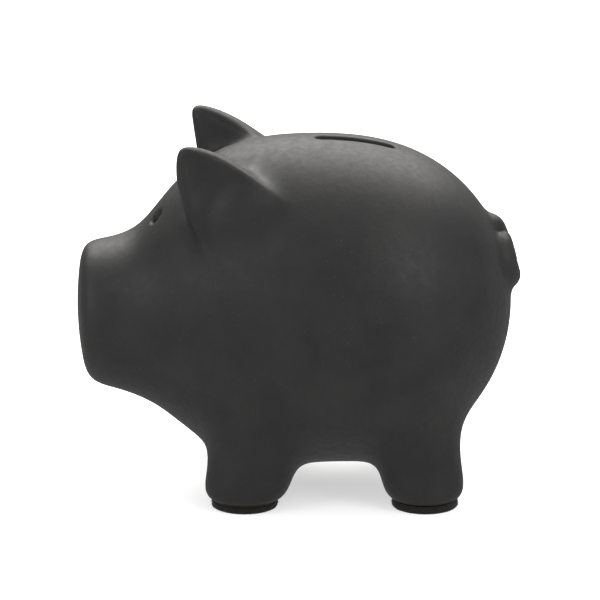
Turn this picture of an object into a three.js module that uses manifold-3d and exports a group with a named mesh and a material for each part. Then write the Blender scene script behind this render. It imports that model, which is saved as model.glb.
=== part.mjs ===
// A slip-cast ceramic piggy bank: one hollow shell with a coin slot in its back, a soft stopper
// pressed into its belly and a felt pad stuck under each foot.
// Millimetres, +Z up, snout towards -X, tail towards +X, the pads resting on Z = 0.

import * as THREE from 'three';
import { mergeVertices } from 'three/addons/utils/BufferGeometryUtils.js';
import Module from 'manifold-3d';

// ---------- driving dimensions ----------

const feltThickness = 2.4;
const feltDiameter = 25.5;
const feltChamfer = 0.4;
const adhesiveThickness = 0.3;
const adhesiveInset = 0.6;      // how far the film stays inside the felt's edge
const faceGap = 0.1;            // left between stacked flat faces

// The three blended ovals of the body. forward is towards the snout, rise is above the torso's middle,
// and aboveBelly is from the torso's lowest point up to the chest's.
const torso = { length: 118.8, width: 122, height: 124.2, bellyAboveFloor: 11.1 };
const head = { forward: 34.4, rise: 7.5, length: 100, width: 94, height: 107.4, blend: 33 };
const chest = { forward: 33.9, aboveBelly: 0.5, length: 83.6, width: 84, height: 83.4, blend: 22 };

// The snout is a short cone with a slightly domed face that looks a little upwards.
const snout = {
  reach: 107.4,                 // torso middle to the face
  root: 41.8,                   // torso middle to where the cone starts
  rise: -4.3,
  faceRadius: 26.6,
  flare: 0.18,                  // growth of the radius per millimetre towards the head
  climb: 0.06,                  // rise of its axis per millimetre towards the face
  domeRadius: 119,
  faceTilt: 1.9,                // degrees
  rimRound: 9.2,
  rootRound: 20,
  blend: 23,
};

// Legs: foot and top are the centres of each leg where it stands and where it meets the body.
const frontLeg = { footX: -43, topX: -36.9, footSide: 30, topSide: 27, footRadius: 16.5, topRadius: 15 };
const rearLeg = { footX: 26, topX: 22.5, footSide: 30, topSide: 27, footRadius: 15.8, topRadius: 14.1 };
const legTopHeight = 37;        // sole to the leg's top, which lies inside the body
const legTopRound = 12;
const soleRound = 11.9;
const soleFlat = 0.6;           // how much of the rounded sole is cut away flat
const legBlend = 18.8;

// Ears: where each root leaves the head is a direction from the head's middle out to the skin.
const ear = {
  frontRoot: [-25.6, 33, 28.8],
  rearRoot: [-2.6, 29, 44.8],
  lean: [-16.5, 2.6, 24.4],     // direction from the middle of the root to the tip
  height: 29.6,
  rootDepth: 9,                 // how far the ear is carried down into the wall
  frontBow: 2.6,
  rearBow: 3.4,
  thickness: 7,
  tipThinning: 0.4,             // share of the thickness lost at the tip
  edgeRound: 2.4,
  cup: 3,                       // hollow of the outer face
  stagger: 1.2,                 // left ear forward of the middle, right ear behind it
};

// The tail is a curl in relief on the rump.
const tail = {
  rise: 17.3,
  turnRadius: 11.6,
  endTurnRadius: 5.4,
  turns: 1.15,
  startAngle: 75,               // degrees from the left side, upwards
  tubeRadius: 4.4,
  endSwell: 0.2,                // its balls are a little fatter than the tube
  pieces: 4,
  sink: 1,                      // centre line below the skin
  lean: 0.12,                   // extra sinking per millimetre upwards
};

const eye = { direction: [-42.3, 9.6, 28.3], radius: 2.8, height: 1.3, proud: 0.6 };
const nostril = { side: 9.5, rise: 2, radius: 4.6, depth: 2 };

const wall = 4.6;
const slot = { behindMiddle: -0.8, length: 30, width: 4.6 };

// The belly hole and its stopper.
const hole = { forward: 6, diameter: 30, seatWidth: 3.6, seatDepth: 4.6 };
const stopper = {
  clearance: 0.3,               // to the hole, the recess and the seat
  flangeClearance: 1.2,
  flangeThickness: 1.6,
  plugHeight: 11,
  plugTaper: 0.7,
  ribCount: 3,
  ribDepth: 0.9,
  ribHeight: 1.6,
  wall: 2.2,
  dishRadius: 11,
  dishDepth: 1.3,
  gripWidth: 4,
  edgeRound: 0.7,
};

// Mesh fineness.
const skinDetail = 17;
const cavityDetail = 8;
const roundSegments = 48;

// ---------- places that follow from the dimensions ----------

const footZ = feltThickness + adhesiveThickness + 2 * faceGap;
const middle = new THREE.Vector3(0, 0, torso.bellyAboveFloor + torso.height / 2);
const headMiddle = new THREE.Vector3(-head.forward, 0, middle.z + head.rise);
const chestZ = torso.bellyAboveFloor + chest.aboveBelly + chest.height / 2;
const chestMiddle = new THREE.Vector3(-chest.forward, 0, chestZ);
const faceMiddle = new THREE.Vector3(-snout.reach, 0, middle.z + snout.rise);

// ---------- the body's form, as distances from its blended surface ----------

// Joins two distances with a round fillet; blend is the width of the fillet.
function joined(a, b, blend) {
  const overlap = Math.max(blend - Math.abs(a - b), 0) / blend;
  return Math.min(a, b) - (overlap ** 3 * blend) / 6;
}

// Keeps what both distances hold, with a rounded edge.
function common(a, b, round) {
  return -joined(-a, -b, round);
}

function oval(point, centre, form, inset) {
  const radii = [form.length / 2 - inset, form.width / 2 - inset, form.height / 2 - inset];
  const offset = [point.x - centre.x, point.y - centre.y, point.z - centre.z];
  const scaled = Math.hypot(...offset.map((value, axis) => value / radii[axis]));
  const slope = Math.hypot(...offset.map((value, axis) => value / radii[axis] ** 2));
  return slope > 0 ? (scaled * (scaled - 1)) / slope : -Math.min(...radii);
}

function snoutDistance(point, inset) {
  const back = point.x - faceMiddle.x;
  const fromAxis = Math.hypot(point.y, point.z - faceMiddle.z + snout.climb * back);
  const side = (fromAxis - snout.faceRadius + inset - snout.flare * back) / Math.hypot(1, snout.flare);
  const tilt = THREE.MathUtils.degToRad(snout.faceTilt);
  const domeX = faceMiddle.x + snout.domeRadius * Math.cos(tilt);
  const domeZ = faceMiddle.z + snout.domeRadius * Math.sin(tilt);
  const face = Math.hypot(point.x - domeX, point.y, point.z - domeZ) - snout.domeRadius + inset;
  const cone = common(side, face, snout.rimRound);
  return common(cone, point.x + snout.root, snout.rootRound);
}

function legDistance(point, leg, inset) {
  const sole = footZ - soleFlat;
  const up = THREE.MathUtils.clamp((point.z - sole) / legTopHeight, -0.2, 1.2);
  const x = THREE.MathUtils.lerp(leg.footX, leg.topX, up);
  const side = THREE.MathUtils.lerp(leg.footSide, leg.topSide, up);
  const radius = THREE.MathUtils.lerp(leg.footRadius, leg.topRadius, up);
  const around = Math.hypot(point.x - x, Math.abs(point.y) - side) - radius + inset;
  const column = common(around, sole + inset - point.z, soleRound);
  return common(column, point.z - sole - legTopHeight, legTopRound);
}

// Distance from the body's skin, without ears and tail. inset moves every surface inwards.
function bodyDistance(point, inset = 0) {
  let distance = oval(point, middle, torso, inset);
  distance = joined(distance, oval(point, headMiddle, head, inset), head.blend);
  distance = joined(distance, oval(point, chestMiddle, chest, inset), chest.blend);
  distance = joined(distance, snoutDistance(point, inset), snout.blend);
  distance = joined(distance, legDistance(point, frontLeg, inset), legBlend);
  distance = joined(distance, legDistance(point, rearLeg, inset), legBlend);
  return Math.max(distance, footZ + inset - point.z);
}

// The outermost point where a ray from inside a form leaves it.
function surfacePoint(origin, direction, distance) {
  const unit = direction.clone().normalize();
  const point = new THREE.Vector3();
  let reach = 2 * (snout.reach + torso.height);
  for (let step = 0; step < 200; step += 1) {
    point.copy(origin).addScaledVector(unit, reach);
    const gap = distance(point);
    if (gap < 0.001) break;
    reach -= gap * 0.7;
  }
  return point;
}

function skinPoint(origin, direction) {
  return surfacePoint(origin, direction, (point) => bodyDistance(point));
}

// ---------- solids ----------

const wasm = await Module();
wasm.setup();

function toSolid(geometry) {
  const bare = geometry.clone();
  bare.deleteAttribute('normal');
  bare.deleteAttribute('uv');
  const merged = mergeVertices(bare, 1e-4);
  const mesh = new wasm.Mesh({
    numProp: 3,
    vertProperties: new Float32Array(merged.attributes.position.array),
    triVerts: new Uint32Array(merged.index.array),
  });
  return new wasm.Manifold(mesh);
}

function toGeometry(solid) {
  const mesh = solid.getMesh();
  const geometry = new THREE.BufferGeometry();
  geometry.setAttribute('position', new THREE.BufferAttribute(mesh.vertProperties, mesh.numProp));
  geometry.setIndex(new THREE.BufferAttribute(mesh.triVerts, 1));
  geometry.computeVertexNormals();
  return geometry;
}

// A turned piece about Z from [radius, height] pairs that start and end on the axis.
function turned(profile) {
  const points = profile.map(([radius, height]) => new THREE.Vector2(radius, height));
  return new THREE.LatheGeometry(points, roundSegments).rotateX(Math.PI / 2);
}

// A ball of radius 1 blown out from a centre until it fills a form.
function blown(ball, centre, distance) {
  const places = ball.attributes.position;
  const direction = new THREE.Vector3();
  for (let index = 0; index < places.count; index += 1) {
    direction.fromBufferAttribute(places, index);
    const point = surfacePoint(centre, direction, distance);
    places.setXYZ(index, point.x, point.y, point.z);
  }
  return toSolid(ball);
}

function outerSolid() {
  const ball = new THREE.IcosahedronGeometry(1, skinDetail);
  return blown(ball, middle, (point) => bodyDistance(point));
}

function cavitySolid() {
  const ball = new THREE.IcosahedronGeometry(1, cavityDetail);
  return blown(ball, middle, (point) => bodyDistance(point, wall));
}

// side is -1 for the left ear and 1 for the right ear.
function earGeometry(side) {
  const mirror = ([x, y, z]) => new THREE.Vector3(x, y * side, z);
  const front = skinPoint(headMiddle, mirror(ear.frontRoot));
  const rear = skinPoint(headMiddle, mirror(ear.rearRoot));
  const root = front.clone().add(rear).multiplyScalar(0.5);
  const upward = mirror(ear.lean).normalize();
  const across = rear.clone().sub(front);
  across.addScaledVector(upward, -across.dot(upward)).normalize();
  const outward = new THREE.Vector3().crossVectors(across, upward).multiplyScalar(side * -1);

  const halfRoot = front.distanceTo(rear) / 2;
  const round = ear.edgeRound;
  const top = ear.height - round;
  const narrow = halfRoot - round;
  const outline = new THREE.Shape();
  outline.moveTo(-narrow, -ear.rootDepth);
  outline.lineTo(narrow, -ear.rootDepth);
  outline.lineTo(narrow, 0);
  outline.quadraticCurveTo(narrow / 2 + ear.rearBow, top / 2 + ear.rearBow, round / 2, top);
  outline.lineTo(-round / 2, top);
  outline.quadraticCurveTo(-narrow / 2 - ear.frontBow, top / 2 + ear.frontBow, -narrow, 0);
  outline.closePath();
  const flat = ear.thickness - 2 * round;
  const geometry = new THREE.ExtrudeGeometry(outline, {
    depth: flat,
    steps: 1,
    curveSegments: 8,
    bevelThickness: round,
    bevelSize: round,
    bevelSegments: 3,
  }).translate(0, 0, -flat / 2);

  // Hollow the outer face and thin the tip.
  const places = geometry.attributes.position;
  for (let index = 0; index < places.count; index += 1) {
    const up = THREE.MathUtils.clamp(places.getY(index) / ear.height, 0, 1);
    const aside = Math.min(Math.abs(places.getX(index)) / (halfRoot * (1.1 - up)), 1);
    const hollow = ear.cup * (1 - aside ** 2) * (1 - up);
    places.setZ(index, places.getZ(index) * (1 - ear.tipThinning * up) - hollow);
  }
  const turn = new THREE.Matrix4().makeBasis(across, upward, outward);
  geometry.applyMatrix4(turn);
  geometry.translate(root.x + side * ear.stagger, root.y, root.z);
  if (turn.determinant() < 0) flipFaces(geometry);
  return geometry;
}

function flipFaces(geometry) {
  const places = geometry.attributes.position;
  const first = new THREE.Vector3();
  const second = new THREE.Vector3();
  for (let index = 0; index < places.count; index += 3) {
    first.fromBufferAttribute(places, index);
    second.fromBufferAttribute(places, index + 1);
    places.setXYZ(index, second.x, second.y, second.z);
    places.setXYZ(index + 1, first.x, first.y, first.z);
  }
}

// A stretch of the curl's centre line, which is a flat spiral laid on the rump and bent to it.
class CurlStretch extends THREE.Curve {
  constructor(from, to) {
    super();
    this.from = from;
    this.to = to;
    this.out = new THREE.Vector3(torso.height / 2, 0, tail.rise).normalize();
    this.up = new THREE.Vector3(-this.out.z, 0, this.out.x);
    this.aside = new THREE.Vector3(0, 1, 0);
    this.base = skinPoint(middle, this.out);
  }

  getPoint(share, target = new THREE.Vector3()) {
    const along = THREE.MathUtils.lerp(this.from, this.to, share);
    const angle = THREE.MathUtils.degToRad(tail.startAngle - 360 * tail.turns * along);
    const radius = THREE.MathUtils.lerp(tail.turnRadius, tail.endTurnRadius, along ** 0.85);
    const up = radius * Math.sin(angle);
    const bend = radius ** 2 / torso.length;
    return target
      .copy(this.base)
      .addScaledVector(this.aside, radius * Math.cos(angle))
      .addScaledVector(this.up, up)
      .addScaledVector(this.out, -tail.sink - tail.lean * up - bend);
  }
}

// The tube is laid in short stretches, with a ball at each end, so that no stretch meets itself.
function tailSolid() {
  const section = new THREE.Shape().absarc(0, 0, tail.tubeRadius, 0, 2 * Math.PI);
  const solids = [];
  for (let piece = 0; piece < tail.pieces; piece += 1) {
    const stretch = new CurlStretch(piece / tail.pieces, (piece + 1) / tail.pieces);
    const tube = new THREE.ExtrudeGeometry(section, {
      extrudePath: stretch,
      steps: 6,
      curveSegments: 5,
      bevelEnabled: false,
    });
    solids.push(toSolid(tube));
    for (const end of [0, 1]) {
      const ball = new THREE.SphereGeometry(tail.tubeRadius + tail.endSwell, 12, 8);
      solids.push(toSolid(ball.translate(...stretch.getPoint(end))));
    }
  }
  return solids.reduce((whole, solid) => whole.add(solid));
}

// A dimple: a ball that only dips into the skin at the given point.
function dimple(point, outward, radius, proud, stretch) {
  const ball = new THREE.SphereGeometry(radius, 12, 8).scale(1, 1, stretch);
  const centre = point.clone().addScaledVector(outward, proud);
  return toSolid(ball.translate(centre.x, centre.y, centre.z));
}

function faceDimples() {
  const cuts = [];
  for (const side of [-1, 1]) {
    const gaze = new THREE.Vector3(eye.direction[0], eye.direction[1] * side, eye.direction[2]).normalize();
    cuts.push(dimple(skinPoint(headMiddle, gaze), gaze, eye.radius, eye.proud, eye.height));
    const ahead = new THREE.Vector3(-1, 0, 0);
    const inside = faceMiddle.clone().add(new THREE.Vector3(snout.faceRadius, nostril.side * side, nostril.rise));
    const onFace = skinPoint(inside, ahead);
    cuts.push(dimple(onFace, ahead, nostril.radius, nostril.radius - nostril.depth, 1));
  }
  return cuts;
}

function slotCutter() {
  const half = slot.length / 2 - slot.width / 2;
  const outline = new THREE.Shape();
  outline.absarc(half, 0, slot.width / 2, -Math.PI / 2, Math.PI / 2);
  outline.absarc(-half, 0, slot.width / 2, Math.PI / 2, (3 * Math.PI) / 2);
  outline.closePath();
  const depth = torso.height;
  const geometry = new THREE.ExtrudeGeometry(outline, { depth, curveSegments: 8, bevelEnabled: false });
  return toSolid(geometry.translate(slot.behindMiddle, 0, middle.z));
}

const bellyPoint = skinPoint(
  new THREE.Vector3(-hole.forward, 0, middle.z),
  new THREE.Vector3(0, 0, -1),
);
const seatZ = bellyPoint.z + hole.seatDepth;
const holeRadius = hole.diameter / 2;
const recessRadius = holeRadius + hole.seatWidth;

function holeCutter() {
  const profile = [
    [0, 0],
    [recessRadius, 0],
    [recessRadius, seatZ],
    [holeRadius, seatZ],
    [holeRadius, middle.z],
    [0, middle.z],
  ];
  return toSolid(turned(profile).translate(-hole.forward, 0, 0));
}

function ceramicSolid() {
  let solid = outerSolid();
  for (const side of [-1, 1]) solid = solid.add(toSolid(earGeometry(side)));
  solid = solid.add(tailSolid());
  solid = solid.subtract(cavitySolid());
  for (const cut of faceDimples()) solid = solid.subtract(cut);
  solid = solid.subtract(slotCutter());
  return solid.subtract(holeCutter());
}

function stopperSolid() {
  const under = seatZ - stopper.clearance;
  const face = under - stopper.flangeThickness;
  const flangeRadius = recessRadius - stopper.flangeClearance;
  const ribRadius = holeRadius - stopper.clearance;
  const plugRadius = ribRadius - stopper.ribDepth;
  const round = stopper.edgeRound;
  const profile = [
    [0, face + stopper.dishDepth],
    [stopper.dishRadius - stopper.dishDepth, face + stopper.dishDepth],
    [stopper.dishRadius, face],
    [flangeRadius - round, face],
    [flangeRadius, face + round],
    [flangeRadius, under - round / 2],
    [flangeRadius - round / 2, under],
    [plugRadius, under],
  ];
  const pitch = stopper.plugHeight / (stopper.ribCount + 0.5);
  for (let rib = 0; rib < stopper.ribCount; rib += 1) {
    const start = under + pitch * (rib + 0.5);
    const slim = (stopper.plugTaper * rib) / stopper.ribCount;
    profile.push([plugRadius - slim, start - stopper.ribHeight / 2]);
    profile.push([ribRadius - slim, start]);
    profile.push([ribRadius - slim, start + stopper.ribHeight / 4]);
    profile.push([plugRadius - slim, start + stopper.ribHeight]);
  }
  const top = under + stopper.plugHeight;
  const endRadius = plugRadius - stopper.plugTaper;
  profile.push([endRadius, top]);
  profile.push([endRadius - stopper.wall, top]);
  profile.push([endRadius - stopper.wall, under + stopper.wall]);
  profile.push([0, under + stopper.wall]);
  const grip = new THREE.BoxGeometry(stopper.gripWidth, 2 * stopper.dishRadius - 1, stopper.dishDepth + 0.5);
  grip.translate(0, 0, face + (stopper.dishDepth + 0.5) / 2);
  return toSolid(turned(profile)).add(toSolid(grip));
}

function disc(radius, bottom, thickness, chamfer) {
  return turned([
    [0, bottom],
    [radius - chamfer, bottom],
    [radius, bottom + chamfer],
    [radius, bottom + thickness - chamfer],
    [radius - chamfer, bottom + thickness],
    [0, bottom + thickness],
  ]);
}

// ---------- materials and assembly ----------

const ceramic = new THREE.MeshStandardMaterial({ color: 0x2c2c2d, roughness: 0.6, metalness: 0 });
const rubber = new THREE.MeshStandardMaterial({ color: 0x1d1d1e, roughness: 0.75, metalness: 0 });
const felt = new THREE.MeshStandardMaterial({ color: 0x2e2a27, roughness: 1, metalness: 0 });
const adhesive = new THREE.MeshStandardMaterial({ color: 0x2f2a24, roughness: 0.6, metalness: 0 });

const bank = new THREE.Group();

function place(name, geometry, material, x = 0, y = 0) {
  const mesh = new THREE.Mesh(geometry, material);
  mesh.name = name;
  mesh.position.set(x, y, 0);
  bank.add(mesh);
}

place('ceramic_body', toGeometry(ceramicSolid()), ceramic);
place('belly_stopper', toGeometry(stopperSolid()), rubber, -hole.forward);

for (const [end, leg] of [['front', frontLeg], ['rear', rearLeg]]) {
  for (const [hand, side] of [['left', -1], ['right', 1]]) {
    const radius = feltDiameter / 2;
    const pad = disc(radius, 0, feltThickness, feltChamfer);
    const film = disc(radius - adhesiveInset, feltThickness + faceGap, adhesiveThickness, 0.05);
    place(`felt_pad_${end}_${hand}`, pad, felt, leg.footX, leg.footSide * side);
    place(`pad_adhesive_${end}_${hand}`, film, adhesive, leg.footX, leg.footSide * side);
  }
}

// Put the origin at the middle of the footprint.
const extent = new THREE.Box3().setFromObject(bank);
const piggyBank = new THREE.Group();
bank.position.x = -(extent.min.x + extent.max.x) / 2;
bank.position.y = -(extent.min.y + extent.max.y) / 2;
piggyBank.add(bank);

export default piggyBank;
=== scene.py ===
import math

import bmesh
import bpy
import numpy as np
import openvdb
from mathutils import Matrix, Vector


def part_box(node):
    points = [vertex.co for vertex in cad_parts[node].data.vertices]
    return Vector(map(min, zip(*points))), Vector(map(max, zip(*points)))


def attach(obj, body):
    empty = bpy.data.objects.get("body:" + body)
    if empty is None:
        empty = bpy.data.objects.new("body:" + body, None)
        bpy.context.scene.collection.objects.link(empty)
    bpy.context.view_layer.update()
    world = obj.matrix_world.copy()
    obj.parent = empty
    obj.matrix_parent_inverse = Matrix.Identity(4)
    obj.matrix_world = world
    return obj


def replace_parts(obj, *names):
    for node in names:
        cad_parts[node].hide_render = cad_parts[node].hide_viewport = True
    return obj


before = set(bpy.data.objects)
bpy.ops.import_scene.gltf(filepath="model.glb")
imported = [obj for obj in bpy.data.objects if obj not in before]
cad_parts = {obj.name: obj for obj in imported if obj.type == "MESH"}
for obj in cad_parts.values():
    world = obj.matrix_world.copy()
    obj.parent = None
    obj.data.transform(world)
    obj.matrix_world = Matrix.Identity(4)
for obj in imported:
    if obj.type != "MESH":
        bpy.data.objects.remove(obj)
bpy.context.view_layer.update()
mm = 0.001  # sizes below are in millimetres, meshes and places in metres


# Places taken from the frame.

def boxInMm(node):
    low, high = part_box(node)
    return np.array(low) / mm, np.array(high) / mm


stopperLow, stopperHigh = boxInMm("belly_stopper")
bodyLow, bodyHigh = boxInMm("ceramic_body")
holeX = (stopperLow[0] + stopperHigh[0]) / 2
soleZ = bodyLow[2]


# The ceramic skin is a distance in millimetres.
# x is counted from the torso's middle, y from the middle plane, z from the floor.

torso = {"middle": (0, 0, 73.2), "radii": (59.4, 61.0, 62.1)}
head = {"middle": (-34.4, 0, 80.7), "radii": (50.0, 47.0, 53.7), "blend": 33.0}
chest = {"middle": (-33.9, 0, 53.3), "radii": (41.8, 42.0, 41.7), "blend": 22.0}
snout = {
    "front": -107.4, "height": 68.9, "radius": 26.6, "flare": 0.18, "climb": 0.06,
    "dome": 119.0, "tilt": 1.9, "rim": 9.2, "root": -41.8, "rootRound": 20.0, "blend": 23.0,
}
frontLeg = {"x": -43.0, "topX": -36.9, "y": 30.0, "topY": 27.0, "radius": 16.5, "topRadius": 15.0}
rearLeg = {"x": 26.0, "topX": 22.5, "y": 30.0, "topY": 27.0, "radius": 15.8, "topRadius": 14.1}
legs = {"height": 37.0, "topRound": 12.0, "soleRound": 11.9, "soleFlat": 0.6, "blend": 18.8}
ear = {
    "front": (-60.0, -32.5, 110.0), "rear": (-36.0, -28.0, 126.0), "tip": (-66.1, -33.2, 143.0),
    "rootDepth": 10.0, "rootRound": 4.0, "tipRound": 8.0, "leftBow": 3.4, "rightBow": 0.4, "rearBow": 3.8,
    "halfThickness": 6.0, "tipHalfThickness": 3.0, "cup": 3.0, "edge": 6.5,
    "blend": 10.0, "stagger": 1.4,
}
earHeel = {"middle": (-42.5, -35.0, 113.0), "radii": (10.0, 5.0, 10.5), "blend": 18.0}
tail = {
    "height": 91.2, "turn": 11.0, "endTurn": 3.4, "radius": 5.4, "endRadius": 3.4,
    "start": 75, "sweep": -500, "steps": 44, "sink": 1.4, "lean": 0.0, "crown": 2.4, "blend": 6.0,
    "boxStart": 33, "boxSide": 24, "boxRise": 28,  # only points in this box are measured to the tail
}
eye = {"middle": (-76.7, -9.6, 109.0), "radii": (2.6, 2.6, 3.6), "soft": 1.6}
nostril = {"side": 9.5, "rise": 2.0, "radii": (3.6, 3.4, 5.0), "behind": -0.1, "soft": 1.8}
shell = {"wall": 4.6, "innerSoft": 0.4}
slot = {"behind": -0.8, "length": 30.0, "width": 4.6, "soft": 2.6, "lowest": 100.0}
hole = {
    "radius": 15.0, "seatWidth": 3.6, "soft": 2.0, "highest": 60.0,
    "ahead": 6.0,     # of the torso's middle
    "seatRise": 1.9,  # the stopper's flange, 1.6 mm, and 0.3 mm to spare
}

middleX = holeX + hole["ahead"]
seatZ = stopperLow[2] + hole["seatRise"]


def joined(a, b, blend):
    overlap = np.maximum(blend - np.abs(a - b), 0) / blend
    return np.minimum(a, b) - overlap ** 3 * blend / 6


def common(a, b, blend):
    return -joined(-a, -b, blend)


def length(vectors):
    return np.sqrt((vectors ** 2).sum(-1))


def oval(points, middle, radii, inset=0.0):
    offset = points - np.array(middle)
    size = np.array(radii, float) - inset
    near = length(offset / size)
    far = length(offset / size ** 2)
    return near * (near - 1) / np.maximum(far, 1e-9)


def snoutDistance(points, inset):
    ahead = points[:, 0] - snout["front"]
    across = np.hypot(points[:, 1], points[:, 2] - snout["height"] + snout["climb"] * ahead)
    side = across - (snout["radius"] - inset) - snout["flare"] * ahead
    side = side / math.hypot(1, snout["flare"])
    tilt = math.radians(snout["tilt"])
    domeX = snout["front"] + snout["dome"] * math.cos(tilt)
    domeZ = snout["height"] + snout["dome"] * math.sin(tilt)
    face = length(points - np.array([domeX, 0, domeZ])) - snout["dome"] + inset
    cone = common(side, face, snout["rim"])
    return common(cone, points[:, 0] - snout["root"], snout["rootRound"])


def legDistance(points, leg, inset):
    height = points[:, 2] - soleZ
    share = np.clip(height / legs["height"], -0.2, 1.2)
    x = leg["x"] + (leg["topX"] - leg["x"]) * share
    y = leg["y"] + (leg["topY"] - leg["y"]) * share
    radius = leg["radius"] + (leg["topRadius"] - leg["radius"]) * np.clip(share, 0, 1.2)
    side = np.hypot(points[:, 0] - x, np.abs(points[:, 1]) - y) - radius + inset
    post = common(side, inset - height - legs["soleFlat"], legs["soleRound"])
    return common(post, height - legs["height"] - 6, legs["topRound"])


# Distance to a round-sided edge that runs from p to q and bows outwards.
def bowedEdge(u, v, p, q, bow, inside):
    p, q, inside = np.array(p), np.array(q), np.array(inside)
    chord = np.linalg.norm(q - p)
    radius = (chord ** 2 / 4 + bow ** 2) / (2 * bow)
    normal = np.array([-(q - p)[1], (q - p)[0]]) / chord
    if (inside - (p + q) / 2) @ normal < 0:
        normal = -normal
    centre = (p + q) / 2 + normal * (radius - bow)
    return np.hypot(u - centre[0], v - centre[1]) - radius


def earDistance(points):
    front, rear, tip = (np.array(ear[name], float) for name in ("front", "rear", "tip"))
    root = (front + rear) / 2
    height = np.linalg.norm(tip - root)
    up = (tip - root) / height
    along = (rear - front) - ((rear - front) @ up) * up
    along /= np.linalg.norm(along)
    outward = np.cross(along, up)
    if outward[1] > 0:
        outward = -outward
    side = np.where(points[:, 1] > 0, 1.0, -1.0)
    folded = points.copy()
    folded[:, 1] = -np.abs(points[:, 1])
    folded[:, 0] -= ear["stagger"] * side
    offset = folded - root
    u, v, w = offset @ along, offset @ up, offset @ outward
    left = ((front - root) @ along, (front - root) @ up)
    right = ((rear - root) @ along, (rear - root) @ up)
    top, inside = (0.0, height), (0.0, height * 0.3)
    leftFront = bowedEdge(u, v, left, top, ear["leftBow"], inside)
    rightFront = bowedEdge(u, v, left, top, ear["rightBow"], inside)
    rearEdge = bowedEdge(u, v, right, top, ear["rearBow"], inside)
    outline = common(np.where(side < 0, leftFront, rightFront), rearEdge, ear["tipRound"])
    outline = common(outline, -v - ear["rootDepth"], ear["rootRound"])
    rise = np.clip(v / height, 0, 1)
    half = ear["halfThickness"] + (ear["tipHalfThickness"] - ear["halfThickness"]) * rise
    narrowing = np.clip(1 - v / height, 0.12, 1.4)
    centre = (left[0] + right[0]) / 2 * narrowing
    reach = (right[0] - left[0]) / 2 * narrowing
    aside = np.clip((u - centre) / reach, -1.2, 1.2)
    hollow = -ear["cup"] * (1 - aside ** 2) * (1 - rise)
    plate = common(outline, np.abs(w - hollow) - half, ear["edge"])
    folded[:, 0] = points[:, 0]
    heel = oval(folded, earHeel["middle"], earHeel["radii"])
    return joined(plate, heel, earHeel["blend"])


def tailPath():
    middle, radii = np.array(torso["middle"]), np.array(torso["radii"])
    rise = (tail["height"] - middle[2]) / radii[2]
    base = np.array([middle[0] + radii[0] * math.sqrt(1 - rise ** 2), 0, tail["height"]])
    out = (base - middle) / radii ** 2
    out /= np.linalg.norm(out)
    up = np.array([-out[2], 0, out[0]])
    share = np.linspace(0, 1, tail["steps"])
    angle = np.radians(tail["start"] + tail["sweep"] * share)
    turn = tail["turn"] + (tail["endTurn"] - tail["turn"]) * share ** 0.85
    aside, rise = turn * np.cos(angle), turn * np.sin(angle)
    drop = turn ** 2 / (2 * radii[0]) + tail["sink"] + tail["lean"] * rise
    drop -= tail["crown"] * (1 - (turn / tail["turn"]) ** 2)
    path = base + aside[:, None] * np.array([0, 1, 0]) + rise[:, None] * up - drop[:, None] * out
    return path, tail["radius"] + (tail["endRadius"] - tail["radius"]) * share


def tailDistance(points):
    distance = np.full(len(points), 1e3)
    near = (points[:, 0] > tail["boxStart"]) & (np.abs(points[:, 1]) < tail["boxSide"])
    near &= np.abs(points[:, 2] - tail["height"]) < tail["boxRise"]
    if not near.any():
        return distance
    path, radii = tailPath()
    chosen = points[near]
    best = np.full(len(chosen), 1e3)
    for a, b, ra, rb in zip(path[:-1], path[1:], radii[:-1], radii[1:]):
        share = np.clip((chosen - a) @ (b - a) / ((b - a) @ (b - a)), 0, 1)
        reach = length(chosen - a - share[:, None] * (b - a))
        best = np.minimum(best, reach - ra - (rb - ra) * share)
    distance[near] = best
    return distance


# The bare form that both the skin and the cavity follow.
def formDistance(points, inset=0.0):
    distance = oval(points, torso["middle"], torso["radii"], inset)
    for part in (head, chest):
        distance = joined(distance, oval(points, part["middle"], part["radii"], inset), part["blend"])
    distance = joined(distance, snoutDistance(points, inset), snout["blend"])
    for leg in (frontLeg, rearLeg):
        distance = joined(distance, legDistance(points, leg, inset), legs["blend"])
    return np.maximum(distance, soleZ + inset - points[:, 2])


def skinDistance(points):
    distance = joined(formDistance(points), earDistance(points), ear["blend"])
    distance = joined(distance, tailDistance(points), tail["blend"])
    folded = points.copy()
    folded[:, 1] = -np.abs(points[:, 1])
    distance = common(distance, -oval(folded, eye["middle"], eye["radii"]), eye["soft"])
    middle = (snout["front"] + nostril["behind"], -nostril["side"], snout["height"] + nostril["rise"])
    return common(distance, -oval(folded, middle, nostril["radii"]), nostril["soft"])


def slotDistance(points):
    beyond = np.maximum(np.abs(points[:, 0] - slot["behind"]) - (slot["length"] - slot["width"]) / 2, 0)
    side = np.hypot(beyond, points[:, 1]) - slot["width"] / 2
    return np.maximum(side, slot["lowest"] - points[:, 2])


def holeDistance(points):
    across = np.hypot(points[:, 0] + middleX - holeX, points[:, 1])
    recess = np.maximum(across - hole["radius"] - hole["seatWidth"], points[:, 2] - seatZ)
    bore = np.maximum(across - hole["radius"], points[:, 2] - hole["highest"])
    return np.minimum(recess, bore)


def bodyDistance(points):
    distance = common(skinDistance(points), -formDistance(points, shell["wall"]), shell["innerSoft"])
    distance = common(distance, -slotDistance(points), slot["soft"])
    return common(distance, -holeDistance(points), hole["soft"])


mesher = {
    "step": 1.7, "margin": 3.0, "pulls": 4, "relaxing": 0.35,
    "xZones": ((-18, -12.5, 0.75), (11.5, 17, 0.75), (-72, -30, 1.25), (-110, -92, 1.25), (46, 66, 1.2)),
    "yZones": ((-4.5, 4.5, 0.65),),
    "zZones": ((126, 140, 0.95), (100, 126, 1.35), (9, 20, 1.0), (2, 6, 1.1)),
}


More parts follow.
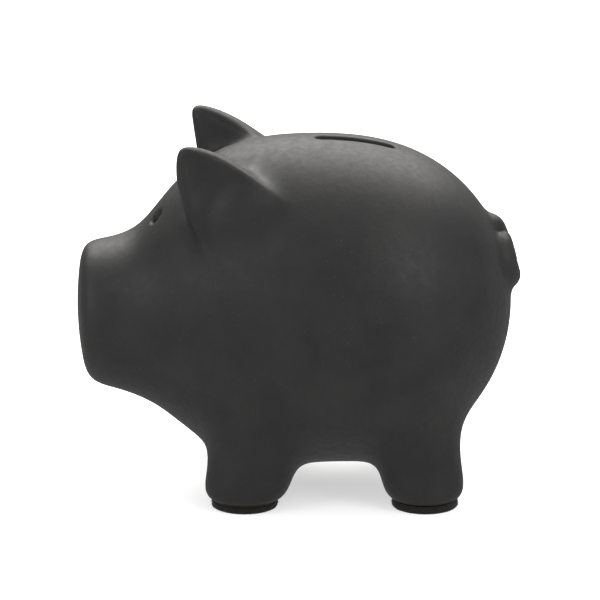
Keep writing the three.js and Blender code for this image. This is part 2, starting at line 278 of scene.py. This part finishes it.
# Grid lines from low to high, closer together inside the zones.
def gridLines(low, high, zones):
    lines = [low]
    while lines[-1] < high:
        step = mesher["step"]
        for start, end, fine in zones:
            outside = max(start - lines[-1], lines[-1] - end, 0)
            step = min(step, fine + outside * 0.35)
        lines.append(lines[-1] + step)
    return np.array(lines)


def gradient(distance, points, reach=0.05):
    slope = np.zeros_like(points)
    for axis in range(3):
        shift = np.zeros(3)
        shift[axis] = reach
        slope[:, axis] = (distance(points + shift) - distance(points - shift)) / (2 * reach)
    return slope


def pulledOnto(distance, points, limit=0.6):
    value = distance(points)
    slope = gradient(distance, points)
    step = (value / np.maximum((slope ** 2).sum(-1), 0.05))[:, None] * slope
    size = np.maximum(length(step), 1e-9)
    return points - step * np.minimum(1, limit / size)[:, None]


def sampled(distance, lines):
    xs, ys, zs = lines
    values = np.empty((len(xs), len(ys), len(zs)), np.float32)
    grid = np.stack(np.meshgrid(ys, zs, indexing="ij"), -1).reshape(-1, 2)
    for index, x in enumerate(xs):
        points = np.column_stack([np.full(len(grid), x), grid])
        values[index] = distance(points).reshape(len(ys), len(zs))
    return values


def relaxed(points, quads, share):
    total = np.zeros_like(points)
    count = np.zeros(len(points))
    for a, b in ((0, 1), (1, 2), (2, 3), (3, 0)):
        for start, end in ((quads[:, a], quads[:, b]), (quads[:, b], quads[:, a])):
            np.add.at(total, start, points[end])
            np.add.at(count, start, 1)
    return points + share * (total / np.maximum(count, 1)[:, None] - points)


def skinMesh(name):
    zones = (mesher["xZones"], mesher["yZones"], mesher["zZones"])
    low = bodyLow - np.array([middleX, 0, 0]) - mesher["margin"]
    high = bodyHigh - np.array([middleX, 0, 0]) + mesher["margin"]
    lines = [gridLines(low[axis], high[axis], zones[axis]) for axis in range(3)]
    values = sampled(bodyDistance, lines)
    print("skin field sampled at", values.size, "points")
    grid = openvdb.FloatGrid(10.0)
    grid.copyFromArray(values)
    cells, quads = grid.convertToQuads(0.0)
    quads = quads.astype(np.int64)
    points = np.column_stack(
        [np.interp(cells[:, axis], np.arange(len(lines[axis])), lines[axis]) for axis in range(3)]
    )
    for turn in range(mesher["pulls"]):
        if turn < mesher["pulls"] - 2:
            points = relaxed(points, quads, mesher["relaxing"])
        points = pulledOnto(bodyDistance, points)
    normals = gradient(bodyDistance, points, 0.08)
    normals /= np.maximum(length(normals), 1e-9)[:, None]
    corners = points[quads]
    faceNormals = np.cross(corners[:, 2] - corners[:, 0], corners[:, 3] - corners[:, 1])
    if (faceNormals * normals[quads[:, 0]]).sum() < 0:
        quads = quads[:, ::-1]
    points[:, 0] += middleX
    mesh = bpy.data.meshes.new(name)
    mesh.from_pydata((points * mm).tolist(), [], quads.tolist())
    mesh.validate()
    mesh.shade_smooth()
    mesh.normals_split_custom_set_from_vertices(normals.tolist())
    print("skin mesh has", len(quads) * 2, "triangles")
    return mesh


def addPiece(name, mesh, material, body):
    piece = bpy.data.objects.new(name, mesh)
    bpy.context.scene.collection.objects.link(piece)
    mesh.materials.clear()
    mesh.materials.append(material)
    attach(piece, body)
    return piece


def newMaterial(name):
    material = bpy.data.materials.new(name)
    material.use_nodes = True
    nodes = material.node_tree.nodes
    return material, nodes, material.node_tree.links, nodes["Principled BSDF"]


# Object coordinates counted in millimetres.
def millimetres(nodes, links):
    place = nodes.new("ShaderNodeTexCoord")
    scaled = nodes.new("ShaderNodeVectorMath")
    scaled.operation = "SCALE"
    scaled.inputs["Scale"].default_value = 1 / mm
    links.new(place.outputs["Object"], scaled.inputs[0])
    return scaled.outputs[0]


def noise(nodes, links, place, size, detail=3.0, roughness=0.5):
    node = nodes.new("ShaderNodeTexNoise")
    node.inputs["Scale"].default_value = 1 / size
    node.inputs["Detail"].default_value = detail
    node.inputs["Roughness"].default_value = roughness
    links.new(place, node.inputs["Vector"])
    return node.outputs["Fac"]


def ranged(nodes, links, value, fromLow, fromHigh, toLow, toHigh):
    node = nodes.new("ShaderNodeMapRange")
    node.inputs["From Min"].default_value = fromLow
    node.inputs["From Max"].default_value = fromHigh
    node.inputs["To Min"].default_value = toLow
    node.inputs["To Max"].default_value = toHigh
    links.new(value, node.inputs["Value"])
    return node.outputs["Result"]


def mixedColour(nodes, links, share, first, second):
    node = nodes.new("ShaderNodeMix")
    node.data_type = "RGBA"
    links.new(share, node.inputs["Factor"])
    for socket, colour in ((node.inputs[6], first), (node.inputs[7], second)):
        if isinstance(colour, tuple):
            socket.default_value = (*colour, 1)
        else:
            links.new(colour, socket)
    return node.outputs[2]


def summed(nodes, links, a, b, operation="ADD"):
    node = nodes.new("ShaderNodeMath")
    node.operation = operation
    for socket, value in ((node.inputs[0], a), (node.inputs[1], b)):
        if isinstance(value, (int, float)):
            socket.default_value = value
        else:
            links.new(value, socket)
    return node.outputs[0]


def bumped(nodes, links, shader, height, depth):
    node = nodes.new("ShaderNodeBump")
    node.inputs["Strength"].default_value = 1.0
    node.inputs["Distance"].default_value = depth * mm
    links.new(height, node.inputs["Height"])
    links.new(node.outputs["Normal"], shader.inputs["Normal"])


ceramicFinish = {
    "dark": (0.0125, 0.0125, 0.0130), "light": (0.0185, 0.0180, 0.0175),
    "speck": (0.05, 0.048, 0.045), "mottle": 17.0, "grain": 0.55, "peel": 2.6,
    "speckSpacing": 3.4, "roughness": (0.46, 0.6), "bump": 0.045, "ior": 1.36,
}


def ceramicMaterial():
    material, nodes, links, shader = newMaterial("matte_black_glaze")
    look = ceramicFinish
    place = millimetres(nodes, links)
    mottle = noise(nodes, links, place, look["mottle"], 5, 0.6)
    grain = noise(nodes, links, place, look["grain"], 3, 0.6)
    peel = noise(nodes, links, place, look["peel"], 2, 0.5)
    specks = nodes.new("ShaderNodeTexVoronoi")
    specks.inputs["Scale"].default_value = 1 / look["speckSpacing"]
    specks.inputs["Randomness"].default_value = 1.0
    links.new(place, specks.inputs["Vector"])
    speckShare = ranged(nodes, links, specks.outputs["Distance"], 0.035, 0.075, 1.0, 0.0)
    cloud = summed(nodes, links, mottle, summed(nodes, links, grain, 0.3, "MULTIPLY"))
    tone = ranged(nodes, links, cloud, 0.45, 0.9, 0.0, 1.0)
    base = mixedColour(nodes, links, tone, look["dark"], look["light"])
    faint = summed(nodes, links, speckShare, 0.7, "MULTIPLY")
    coloured = mixedColour(nodes, links, faint, base, look["speck"])
    links.new(coloured, shader.inputs["Base Color"])
    rough = ranged(nodes, links, summed(nodes, links, peel, grain), 0.7, 1.3, *look["roughness"])
    links.new(rough, shader.inputs["Roughness"])
    pits = summed(nodes, links, speckShare, -0.6, "MULTIPLY")
    height = summed(nodes, links, summed(nodes, links, peel, 1.5, "MULTIPLY"), grain)
    bumped(nodes, links, shader, summed(nodes, links, height, pits), look["bump"])
    shader.inputs["IOR"].default_value = look["ior"]
    return material


ceramic = ceramicMaterial()
body = addPiece("ceramic_skin", skinMesh("ceramic_skin"), ceramic, "bank")
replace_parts(body, "ceramic_body")
print("ceramic body made")


stopper = {
    "flangeThickness": 1.6, "flangeGap": 1.2, "gap": 0.3, "plugHeight": 11.0, "taper": 0.7,
    "ribs": 3, "ribDepth": 0.9, "ribHeight": 1.6, "wall": 2.2, "dishRadius": 11.0, "dishDepth": 1.3,
    "gripWidth": 4.0, "round": 0.7, "around": 144,
}


# Small steps round a centre from one direction to the other, in degrees.
def arc(centre, radius, start, end, steps=5):
    angles = np.radians(np.linspace(start, end, steps))
    return [(centre[0] + radius * math.cos(turn), centre[1] + radius * math.sin(turn)) for turn in angles]


def stopperProfile():
    face = stopperLow[2]
    under = face + stopper["flangeThickness"]
    flange = hole["radius"] + hole["seatWidth"] - stopper["flangeGap"]
    rib = hole["radius"] - stopper["gap"]
    plug = rib - stopper["ribDepth"]
    edge = stopper["round"]
    profile = [(radius, face) for radius in np.linspace(0, flange - edge, 42)]
    profile += arc((flange - edge, face + edge), edge, -90, 0, 6)
    profile += arc((flange - edge / 2, under - edge / 2), edge / 2, 0, 90)
    profile += [(plug + 0.5, under), (plug + 0.15, under + 0.15)]
    pitch = stopper["plugHeight"] / (stopper["ribs"] + 0.5)
    for index in range(stopper["ribs"]):
        start = under + pitch * (index + 0.5)
        slim = stopper["taper"] * index / stopper["ribs"]
        base, crest = plug - slim, rib - slim
        profile.append((base, start - stopper["ribHeight"] / 2))
        profile += arc((crest - 0.25, start + 0.1), 0.25, -50, 60, 5)
        profile.append((base, start + stopper["ribHeight"]))
    top = under + stopper["plugHeight"]
    end = plug - stopper["taper"]
    inner = end - stopper["wall"]
    floorZ = under + stopper["wall"]
    profile += arc((end - 0.5, top - 0.5), 0.5, 0, 90)
    profile += arc((inner + 0.4, top - 0.4), 0.4, 90, 180)
    profile += arc((inner - 0.8, floorZ + 0.8), 0.8, 0, -90)
    profile.append((0, floorZ))
    return profile


# The dish in the face, with a bar left across it to pull by.
def dishDepth(x, y):
    inwards = np.clip((stopper["dishRadius"] - math.hypot(x, y)) / 1.6, 0, 1)
    aside = np.clip((abs(x) - stopper["gripWidth"] / 2) / 1.1, 0, 1)
    share = inwards * aside
    return stopper["dishDepth"] * share * share * (3 - 2 * share)


def turnedMesh(name, profile, around, centreX, lift=None):
    mesh = bpy.data.meshes.new(name)
    shape = bmesh.new()
    rings = []
    for radius, z in profile:
        if radius < 1e-6:
            height = z + (lift(0, 0) if lift and z < profile[0][1] + 1e-6 else 0)
            rings.append([shape.verts.new((centreX * mm, 0, height * mm))])
            continue
        ring = []
        for step in range(around):
            angle = 2 * math.pi * step / around
            x, y = radius * math.cos(angle), radius * math.sin(angle)
            height = z + (lift(x, y) if lift and z < profile[0][1] + 1e-6 else 0)
            ring.append(shape.verts.new(((centreX + x) * mm, y * mm, height * mm)))
        rings.append(ring)
    for lower, upper in zip(rings[:-1], rings[1:]):
        for step in range(around):
            after = (step + 1) % around
            if len(lower) == 1:
                shape.faces.new((lower[0], upper[after], upper[step]))
            elif len(upper) == 1:
                shape.faces.new((lower[step], lower[after], upper[0]))
            else:
                shape.faces.new((lower[step], lower[after], upper[after], upper[step]))
    bmesh.ops.recalc_face_normals(shape, faces=shape.faces)
    for face in shape.faces:
        face.smooth = True
    shape.to_mesh(mesh)
    shape.free()
    return mesh


rubberFinish = {"dark": (0.011, 0.011, 0.012), "light": (0.022, 0.022, 0.023), "grain": 0.35, "bump": 0.03}


def rubberMaterial():
    material, nodes, links, shader = newMaterial("soft_black_rubber")
    look = rubberFinish
    place = millimetres(nodes, links)
    cloud = noise(nodes, links, place, 6.0, 4, 0.6)
    grain = noise(nodes, links, place, look["grain"], 2, 0.5)
    links.new(mixedColour(nodes, links, cloud, look["dark"], look["light"]), shader.inputs["Base Color"])
    links.new(ranged(nodes, links, cloud, 0.3, 0.7, 0.55, 0.75), shader.inputs["Roughness"])
    bumped(nodes, links, shader, grain, look["bump"])
    return material


stopperMesh = turnedMesh("stopper", stopperProfile(), stopper["around"], holeX, dishDepth)
stopperPiece = addPiece("rubber_stopper", stopperMesh, rubberMaterial(), "stopper")
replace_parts(stopperPiece, "belly_stopper")
print("stopper made")


pad = {"rings": 14, "around": 96, "round": 0.45, "wave": 0.12, "ripple": 900, "seed": 4}
fibres = {
    "density": 2.6e6, "length": 0.0008, "thickness": 0.00004, "lift": 0.00005, "seed": 11, "sides": 3,
    "tilt": 1.25, "twist": 3.1, "rim": 0.75,  # radians, and how upright a face may be to grow fibres
}
feltLook = {"dark": (0.0075, 0.0070, 0.0066), "light": (0.017, 0.0155, 0.0145), "sheen": 0.08}


def feltMaterial():
    material, nodes, links, shader = newMaterial("pressed_brown_felt")
    place = millimetres(nodes, links)
    cloud = noise(nodes, links, place, 3.0, 5, 0.7)
    strands = noise(nodes, links, place, 0.22, 4, 0.7)
    share = summed(nodes, links, summed(nodes, links, cloud, 0.5, "MULTIPLY"),
                   summed(nodes, links, strands, 0.5, "MULTIPLY"))
    tone = ranged(nodes, links, share, 0.35, 0.65, 0, 1)
    colour = mixedColour(nodes, links, tone, feltLook["dark"], feltLook["light"])
    links.new(colour, shader.inputs["Base Color"])
    shader.inputs["Roughness"].default_value = 1.0
    shader.inputs["Specular IOR Level"].default_value = 0.15
    shader.inputs["Sheen Weight"].default_value = feltLook["sheen"]
    shader.inputs["Sheen Roughness"].default_value = 0.5
    bumped(nodes, links, shader, strands, 0.12)
    return material


def filmMaterial():
    material, nodes, links, shader = newMaterial("dark_adhesive_film")
    place = millimetres(nodes, links)
    cloud = noise(nodes, links, place, 1.4, 4, 0.6)
    colour = mixedColour(nodes, links, cloud, (0.010, 0.009, 0.008), (0.022, 0.020, 0.018))
    links.new(colour, shader.inputs["Base Color"])
    links.new(ranged(nodes, links, cloud, 0.3, 0.7, 0.3, 0.55), shader.inputs["Roughness"])
    bumped(nodes, links, shader, cloud, 0.02)
    return material


# A pressed disc of felt with a soft, slightly uneven rim.
def padMesh(node, seed):
    low, high = boxInMm(node)
    centre = (low + high) / 2
    radius = (high[0] - low[0]) / 2
    thick = high[2] - low[2]
    edge = pad["round"]
    side = radius - pad["wave"]
    profile = [(share * (side - edge), 0) for share in np.linspace(0, 1, pad["rings"])]
    profile += arc((side - edge, edge), edge, -75, 0, 5)
    profile += arc((side - edge, thick - edge), edge, 0, 75, 5)
    profile += [(share * (side - edge), thick) for share in np.linspace(1, 0, pad["rings"])]
    mesh = turnedMesh(node + "_core", profile, pad["around"], 0)
    random = np.random.default_rng(seed)
    phases = random.uniform(0, 2 * math.pi, 6)
    for vertex in mesh.vertices:
        x, y, z = vertex.co
        angle = math.atan2(y, x)
        swell = 0
        for index, phase in enumerate(phases):
            swell += math.sin((index + 3) * 2 * angle + phase + z * pad["ripple"])
        grow = 1 + pad["wave"] / radius * swell / 6
        vertex.co = (x * grow + centre[0] * mm, y * grow + centre[1] * mm, z)
    return mesh


# Loose fibres standing off the felt's rim.
def fibreTree(material):
    tree = bpy.data.node_groups.new("felt_fibres", "GeometryNodeTree")
    face = tree.interface
    face.new_socket("Geometry", in_out="INPUT", socket_type="NodeSocketGeometry")
    for name in ("Density", "Length", "Thickness"):
        face.new_socket(name, in_out="INPUT", socket_type="NodeSocketFloat")
    face.new_socket("Seed", in_out="INPUT", socket_type="NodeSocketInt")
    face.new_socket("Geometry", in_out="OUTPUT", socket_type="NodeSocketGeometry")
    nodes, links = tree.nodes, tree.links
    given = nodes.new("NodeGroupInput")
    result = nodes.new("NodeGroupOutput")
    normal = nodes.new("GeometryNodeInputNormal")
    parts = nodes.new("ShaderNodeSeparateXYZ")
    links.new(normal.outputs[0], parts.inputs[0])
    upright = nodes.new("ShaderNodeMath")
    upright.operation = "ABSOLUTE"
    links.new(parts.outputs["Z"], upright.inputs[0])
    rim = nodes.new("ShaderNodeMath")
    rim.operation = "LESS_THAN"
    rim.inputs[1].default_value = fibres["rim"]
    links.new(upright.outputs[0], rim.inputs[0])
    spread = nodes.new("GeometryNodeDistributePointsOnFaces")
    links.new(given.outputs["Geometry"], spread.inputs["Mesh"])
    links.new(rim.outputs[0], spread.inputs["Selection"])
    links.new(given.outputs["Density"], spread.inputs["Density"])
    links.new(given.outputs["Seed"], spread.inputs["Seed"])
    hair = nodes.new("GeometryNodeMeshCone")
    hair.inputs["Vertices"].default_value = fibres["sides"]
    hair.inputs["Side Segments"].default_value = 2
    links.new(given.outputs["Thickness"], hair.inputs["Radius Bottom"])
    links.new(given.outputs["Length"], hair.inputs["Depth"])
    tilt = nodes.new("FunctionNodeRandomValue")
    tilt.data_type = "FLOAT_VECTOR"
    tilt.inputs[0].default_value = (-fibres["tilt"], -fibres["tilt"], -fibres["twist"])
    tilt.inputs[1].default_value = (fibres["tilt"], fibres["tilt"], fibres["twist"])
    links.new(given.outputs["Seed"], tilt.inputs["Seed"])
    turned = nodes.new("FunctionNodeRotateRotation")
    turned.rotation_space = "LOCAL"
    links.new(spread.outputs["Rotation"], turned.inputs["Rotation"])
    bend = nodes.new("FunctionNodeEulerToRotation")
    links.new(tilt.outputs[0], bend.inputs[0])
    links.new(bend.outputs[0], turned.inputs["Rotate By"])
    placed = nodes.new("GeometryNodeInstanceOnPoints")
    links.new(spread.outputs["Points"], placed.inputs["Points"])
    links.new(hair.outputs["Mesh"], placed.inputs["Instance"])
    links.new(turned.outputs[0], placed.inputs["Rotation"])
    both = nodes.new("GeometryNodeJoinGeometry")
    links.new(placed.outputs[0], both.inputs[0])
    links.new(given.outputs["Geometry"], both.inputs[0])
    real = nodes.new("GeometryNodeRealizeInstances")
    links.new(both.outputs[0], real.inputs[0])
    dressed = nodes.new("GeometryNodeSetMaterial")
    dressed.inputs["Material"].default_value = material
    links.new(real.outputs[0], dressed.inputs["Geometry"])
    links.new(dressed.outputs[0], result.inputs[0])
    return tree


def feltPad(node, tree, material, seed):
    base = bpy.data.objects.new(node + "_core", padMesh(node, seed))
    bpy.context.scene.collection.objects.link(base)
    modifier = base.modifiers.new("fibres", "NODES")
    modifier.node_group = tree
    sockets = {item.name: item.identifier for item in tree.interface.items_tree if item.in_out == "INPUT"}
    modifier[sockets["Density"]] = fibres["density"]
    modifier[sockets["Length"]] = fibres["length"]
    modifier[sockets["Thickness"]] = fibres["thickness"]
    modifier[sockets["Seed"]] = fibres["seed"] + seed
    bpy.context.view_layer.update()
    evaluated = base.evaluated_get(bpy.context.evaluated_depsgraph_get())
    finished = bpy.data.meshes.new_from_object(evaluated)
    bpy.data.objects.remove(base)
    low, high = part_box(node)
    for vertex in finished.vertices:
        vertex.co.z = min(max(vertex.co.z, low.z + fibres["lift"]), high.z)
    return addPiece(node + "_felt", finished, material, "bank")


felt = feltMaterial()
film = filmMaterial()
fibreNodes = fibreTree(felt)
feet = [end + "_" + hand for end in ("front", "rear") for hand in ("left", "right")]
for index, foot in enumerate(feet):
    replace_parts(feltPad("felt_pad_" + foot, fibreNodes, felt, pad["seed"] + index), "felt_pad_" + foot)
    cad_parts["pad_adhesive_" + foot].data.materials.clear()
    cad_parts["pad_adhesive_" + foot].data.materials.append(film)
print("felt pads made")


stage = {
    "floorSize": 8.0, "floorColour": (0.6, 0.6, 0.6), "floorGlow": 0.52, "fill": 1.0,
    "surround": ((0.0, 0.5), (0.38, 0.45), (0.5, 0.3), (0.62, 0.24), (1.0, 0.35)),
    "back": {
        "place": (0.0, 0.85, 1.05), "size": (1.7, 1.1), "power": 36.0, "colour": (1.0, 0.985, 0.955),
    },
    "left": {"place": (-0.9, -0.52, 0.6), "size": (0.5, 0.7), "power": 4.0},
    "right": {"place": (0.775, -0.605, 0.69), "size": (0.5, 0.7), "power": 5.0},
}


def softbox(name, light):
    lamp = bpy.data.lights.new(name, "AREA")
    lamp.shape = "RECTANGLE"
    lamp.size, lamp.size_y = light["size"]
    lamp.energy = light["power"]
    lamp.color = light.get("colour", (1, 1, 1))
    holder = bpy.data.objects.new(name, lamp)
    holder.location = light["place"]
    aim = Vector((0, 0, 0.07)) - Vector(light["place"])
    holder.rotation_euler = aim.to_track_quat("-Z", "Y").to_euler()
    holder.visible_camera = False
    bpy.context.scene.collection.objects.link(holder)


def floorMaterial():
    material, nodes, links, shader = newMaterial("white_sweep")
    place = millimetres(nodes, links)
    cloud = noise(nodes, links, place, 180.0, 2, 0.5)
    paler = tuple(min(1, part * 1.01) for part in stage["floorColour"])
    links.new(mixedColour(nodes, links, cloud, stage["floorColour"], paler), shader.inputs["Base Color"])
    shader.inputs["Roughness"].default_value = 0.9
    shader.inputs["Specular IOR Level"].default_value = 0.1
    shader.inputs["Emission Color"].default_value = (1, 1, 1, 1)
    shader.inputs["Emission Strength"].default_value = stage["floorGlow"]
    return material


# Even light on the floor and on matt surfaces, a darker room in the reflections.
def studioWorld():
    world = bpy.data.worlds.new("studio")
    world.use_nodes = True
    nodes, links = world.node_tree.nodes, world.node_tree.links
    place = nodes.new("ShaderNodeTexCoord")
    parts = nodes.new("ShaderNodeSeparateXYZ")
    links.new(place.outputs["Generated"], parts.inputs[0])
    height = ranged(nodes, links, parts.outputs["Z"], -1, 1, 0, 1)
    ramp = nodes.new("ShaderNodeValToRGB")
    stops = ramp.color_ramp.elements
    while len(stops) < len(stage["surround"]):
        stops.new(0.5)
    for stop, (share, grey) in zip(stops, stage["surround"]):
        stop.position = share
        stop.color = (grey, grey, grey, 1)
    links.new(height, ramp.inputs[0])
    path = nodes.new("ShaderNodeLightPath")
    reflected = nodes.new("ShaderNodeMix")
    reflected.data_type = "RGBA"
    links.new(path.outputs["Is Glossy Ray"], reflected.inputs["Factor"])
    reflected.inputs[6].default_value = (stage["fill"], stage["fill"], stage["fill"], 1)
    links.new(ramp.outputs["Color"], reflected.inputs[7])
    links.new(reflected.outputs[2], nodes["Background"].inputs["Color"])
    return world


def makeStage():
    half = stage["floorSize"] / 2
    mesh = bpy.data.meshes.new("floor")
    corners = [(-half, -half, 0), (half, -half, 0), (half, half, 0), (-half, half, 0)]
    mesh.from_pydata(corners, [], [(0, 1, 2, 3)])
    mesh.materials.append(floorMaterial())
    floor = bpy.data.objects.new("floor", mesh)
    bpy.context.scene.collection.objects.link(floor)
    floor.visible_glossy = False
    bpy.context.scene.world = studioWorld()
    for name in ("back", "left", "right"):
        softbox("softbox_" + name, stage[name])
    bpy.context.scene.view_settings.view_transform = "Standard"


view = {
    "distance": 1.85, "elevation": 16.3, "target": (0.00017, 0.0, 0.0700),
    "aim": (0.00017, 0.00076, 0.0726), "lens": 288.0,
}


def makeCamera():
    lens = bpy.data.cameras.new("camera")
    lens.lens = view["lens"]
    lens.sensor_width = 36.0
    lens.clip_end = 50.0
    camera = bpy.data.objects.new("camera", lens)
    rise = math.radians(view["elevation"])
    back = Vector((0, -math.cos(rise), math.sin(rise)))
    camera.location = Vector(view["target"]) + back * view["distance"]
    aim = Vector(view["aim"]) - camera.location
    camera.rotation_euler = aim.to_track_quat("-Z", "Y").to_euler()
    bpy.context.scene.collection.objects.link(camera)
    bpy.context.scene.camera = camera


makeStage()
makeCamera()
print("stage and camera made")
